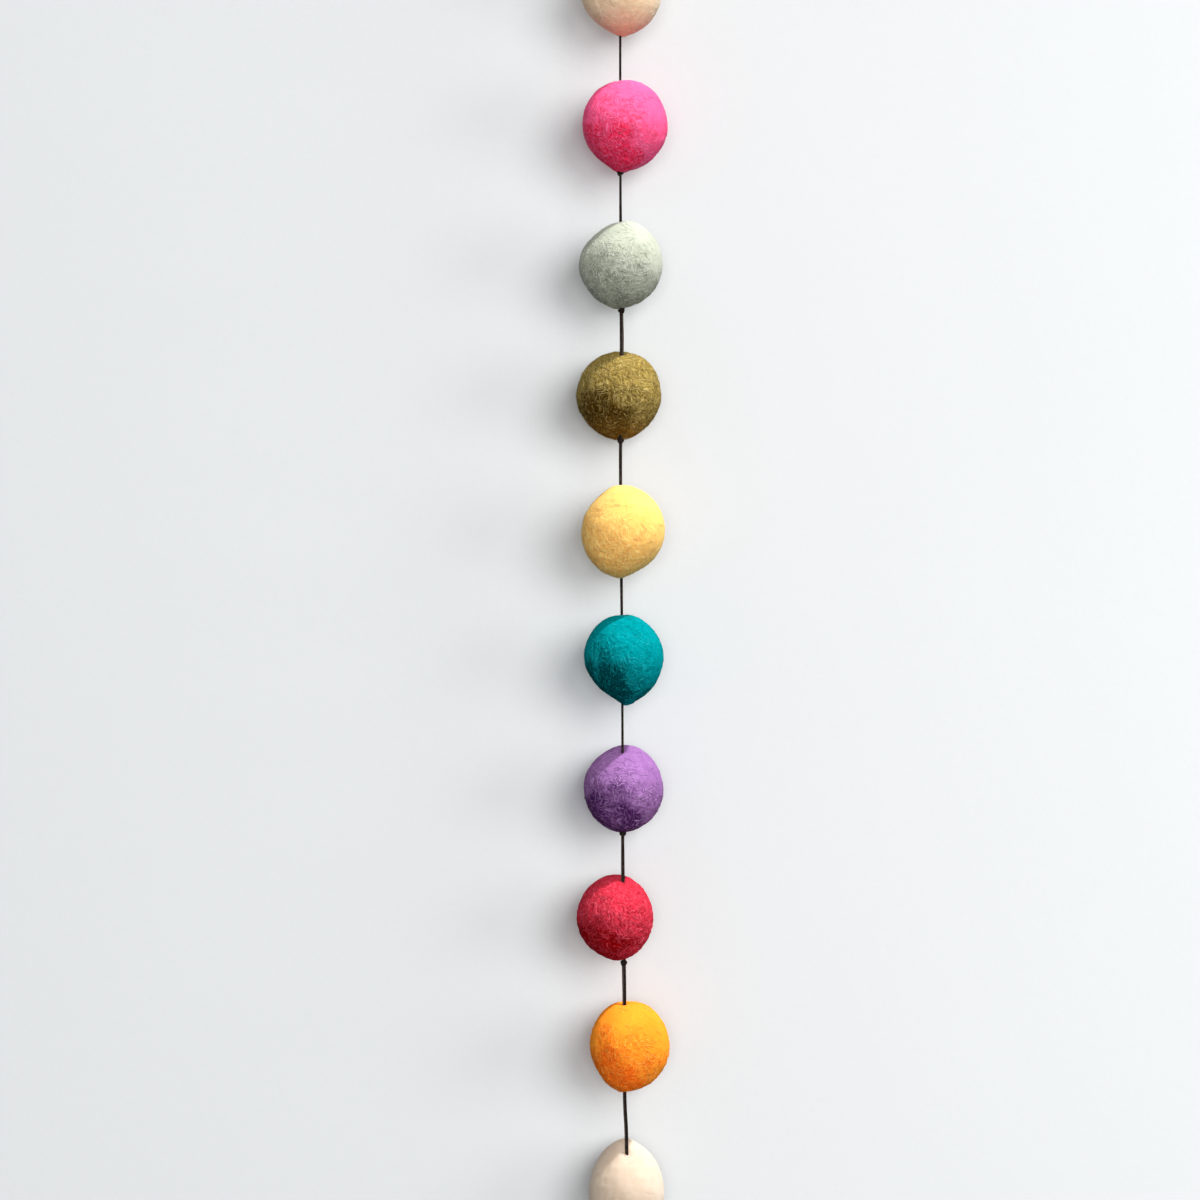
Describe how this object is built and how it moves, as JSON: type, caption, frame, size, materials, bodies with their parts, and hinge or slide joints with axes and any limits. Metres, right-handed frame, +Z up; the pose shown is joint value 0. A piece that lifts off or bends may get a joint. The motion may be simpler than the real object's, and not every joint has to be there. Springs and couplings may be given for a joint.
{
  "type": "felt garland",
  "caption": "Hanging garland of round wet-felted wool balls in mixed colours, knotted along a doubled dark thread with its own hanging loop.",
  "frame": {"origin": "inside of the top of the hanging loop, where a hook bears", "axes": "+Z up along the hanging thread, the garland hangs along -Z and its front faces -Y"},
  "size_m": [0.0251, 0.0261, 0.3907],
  "materials": {
    "felt_cream": "matt wet-felted wool with a short fuzz",
    "felt_pink": "matt wet-felted wool with a short fuzz",
    "felt_grey": "matt wet-felted wool with a short fuzz",
    "felt_olive": "matt wet-felted wool with a short fuzz",
    "felt_yellow": "matt wet-felted wool with a short fuzz",
    "felt_teal": "matt wet-felted wool with a short fuzz",
    "felt_purple": "matt wet-felted wool with a short fuzz",
    "felt_crimson": "matt wet-felted wool with a short fuzz",
    "felt_orange": "matt wet-felted wool with a short fuzz",
    "thread": "dark brown twisted thread, matt"
  },
  "bodies": {
    "root": {"ball_01_cream": "felt_cream", "ball_02_pink": "felt_pink", "ball_03_grey": "felt_grey", "ball_04_olive": "felt_olive", "ball_05_yellow": "felt_yellow", "ball_06_teal": "felt_teal", "ball_07_purple": "felt_purple", "ball_08_crimson": "felt_crimson", "ball_09_orange": "felt_orange", "ball_10_cream": "felt_cream", "thread": "thread"}
  },
  "joints": []
}
